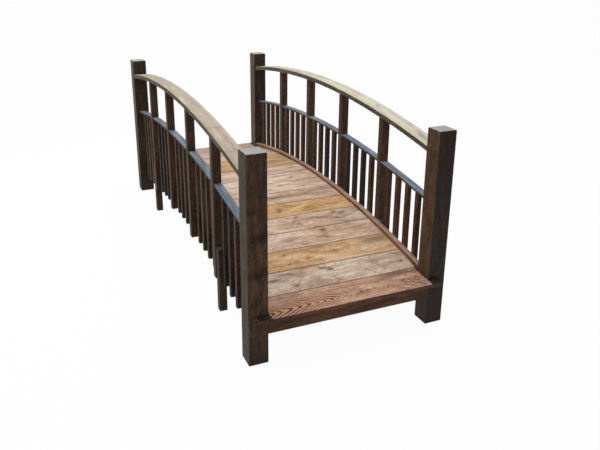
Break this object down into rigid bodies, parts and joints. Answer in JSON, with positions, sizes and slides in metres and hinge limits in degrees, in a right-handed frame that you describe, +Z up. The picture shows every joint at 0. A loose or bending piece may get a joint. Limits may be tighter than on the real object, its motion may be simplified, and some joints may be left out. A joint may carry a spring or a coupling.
{
  "type": "moon bridge",
  "caption": "Arched wooden garden bridge with square corner posts, bent handrails and mid rails, slim balusters, curbs and cross boards on an arched deck.",
  "frame": {"origin": "on the ground under the middle of the bridge", "axes": "+Z up, +Y along the walkway from the front end to the back end, +X across it to the right"},
  "size_m": [0.966, 2.484, 0.9428],
  "materials": {
    "post_timber": "satin",
    "handrail_top_timber": "matte",
    "handrail_lower_timber": "matte",
    "mid_rail_timber": "matte",
    "rail_post_timber": "matte",
    "baluster_timber": "matte",
    "leg_timber": "matte",
    "curb_timber": "matte",
    "deck_timber": "matte",
    "bearer_timber": "matte"
  },
  "bodies": {
    "root": {"balusters_left_bay_1": "baluster_timber", "balusters_left_bay_2": "baluster_timber", "balusters_left_bay_3": "baluster_timber", "balusters_left_bay_4": "baluster_timber", "balusters_left_bay_5": "baluster_timber", "balusters_right_bay_1": "baluster_timber", "balusters_right_bay_2": "baluster_timber", "balusters_right_bay_3": "baluster_timber", "balusters_right_bay_4": "baluster_timber", "balusters_right_bay_5": "baluster_timber", "corner_post_back_left": "post_timber", "corner_post_back_right": "post_timber", "corner_post_front_left": "post_timber", "corner_post_front_right": "post_timber", "cross_beam_back": "bearer_timber", "cross_beam_front": "bearer_timber", "curb_left": "curb_timber", "curb_right": "curb_timber", "deck_boards_back": "deck_timber", "deck_boards_back_middle": "deck_timber", "deck_boards_front": "deck_timber", "deck_boards_front_middle": "deck_timber", "end_board_back": "deck_timber", "end_board_front": "deck_timber", "handrail_lower_left": "handrail_lower_timber", "handrail_lower_right": "handrail_lower_timber", "handrail_upper_left": "handrail_top_timber", "handrail_upper_right": "handrail_top_timber", "leg_back_left": "leg_timber", "leg_back_right": "leg_timber", "leg_front_left": "leg_timber", "leg_front_right": "leg_timber", "mid_rail_left": "mid_rail_timber", "mid_rail_right": "mid_rail_timber", "rail_post_left_1": "rail_post_timber", "rail_post_left_2": "rail_post_timber", "rail_post_left_3": "rail_post_timber", "rail_post_left_4": "rail_post_timber", "rail_post_right_1": "rail_post_timber", "rail_post_right_2": "rail_post_timber", "rail_post_right_3": "rail_post_timber", "rail_post_right_4": "rail_post_timber", "stringer_left": "bearer_timber", "stringer_right": "bearer_timber"}
  },
  "joints": []
}
